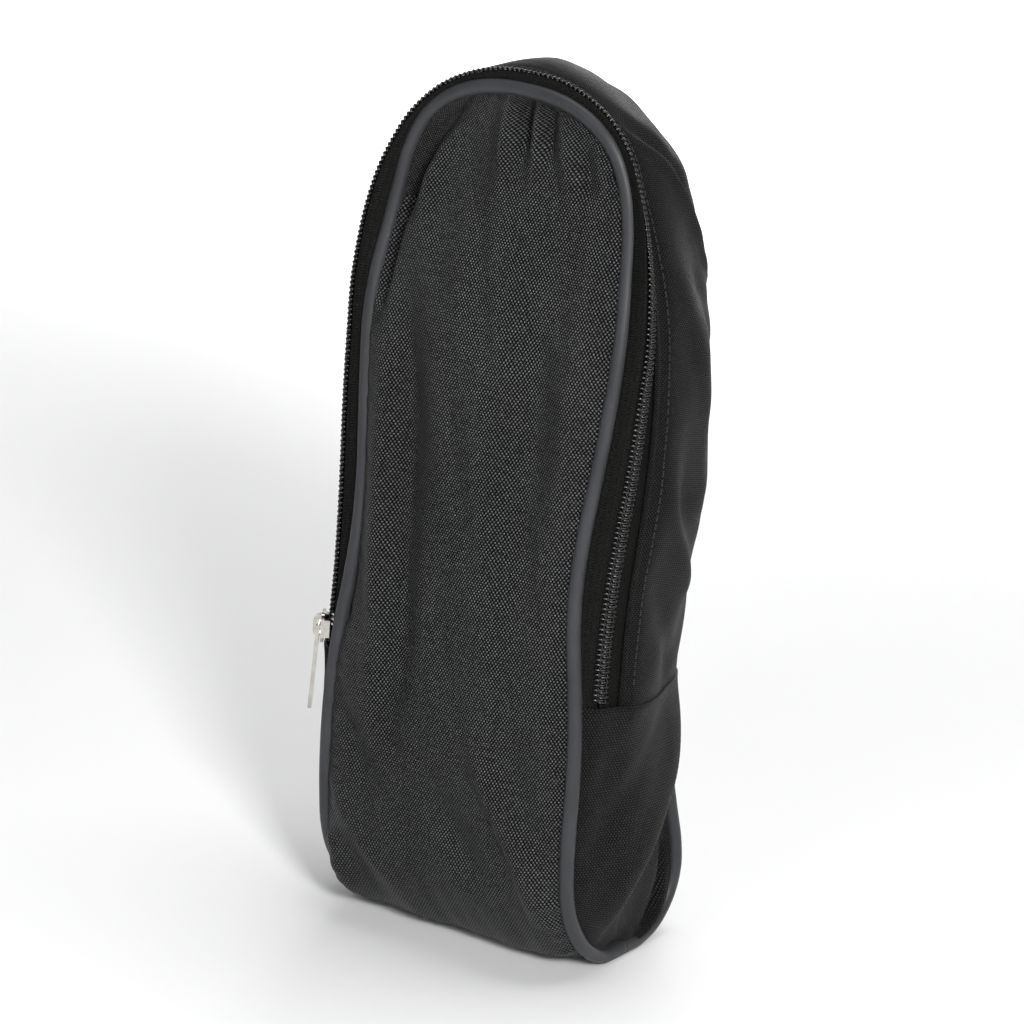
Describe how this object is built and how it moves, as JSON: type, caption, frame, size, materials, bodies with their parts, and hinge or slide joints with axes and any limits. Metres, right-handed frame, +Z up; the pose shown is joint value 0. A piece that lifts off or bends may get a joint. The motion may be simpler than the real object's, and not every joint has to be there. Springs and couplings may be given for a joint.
{
  "type": "golf shoe bag",
  "caption": "Upright zipped carry bag for one pair of golf shoes, with an arched fold-down front flap, piped seams and a gusset.",
  "frame": {"origin": "middle of the base, on the surface that the bag stands on", "axes": "+Z up, +X to the right as seen from the front, -Y towards the front, where the flap is"},
  "size_m": [0.141, 0.0986, 0.3505],
  "materials": {
    "main_fabric": "woven polyester, matt with a slight sheen",
    "gusset_fabric": "woven polyester, matt",
    "piping": "smooth satin vinyl bead",
    "binding": "woven binding tape",
    "zip_tape": "knitted zip tape",
    "zip_coil": "nylon coil",
    "thread": "bonded polyester thread",
    "nickel": "polished nickel plate, lightly worn"
  },
  "bodies": {
    "bag": {"front_base_panel": "main_fabric", "back_panel": "main_fabric", "gusset_strip": "gusset_fabric", "gusset_end_left": "gusset_fabric", "gusset_end_right": "gusset_fabric", "piping_body": "piping", "seam_binding_back": "binding", "zip_tape_front_ends": "zip_tape", "zip_tape_rear": "zip_tape", "zip_coil_front_ends": "zip_coil", "zip_coil_rear": "zip_coil", "zip_topstitch": "thread"},
    "flap": {"front_flap_panel": "main_fabric", "piping_flap": "piping", "seam_binding_flap": "binding", "zip_tape_front": "zip_tape", "zip_coil_front": "zip_coil"},
    "slider": {"slider_body": "nickel", "slider_bridge": "nickel"},
    "pull": {"pull_tab": "nickel"}
  },
  "joints": [
    {"name": "flap_fold", "type": "hinge", "parent": "bag", "child": "flap", "pos_m": [0, -0.0493, 0.12765], "axis": [1, 0, 0], "range_deg": [0, 115]},
    {"name": "slider_run", "type": "slide", "parent": "bag", "child": "slider", "axis": [-0.0314, 0, 0.9995], "range_m": [0, 0.12]},
    {"name": "pull_swing", "type": "hinge", "parent": "slider", "child": "pull", "pos_m": [-0.06539, -0.04485, 0.11844], "axis": [-0.4998, 0.866, -0.0157], "range_deg": [0, 170]}
  ]
}
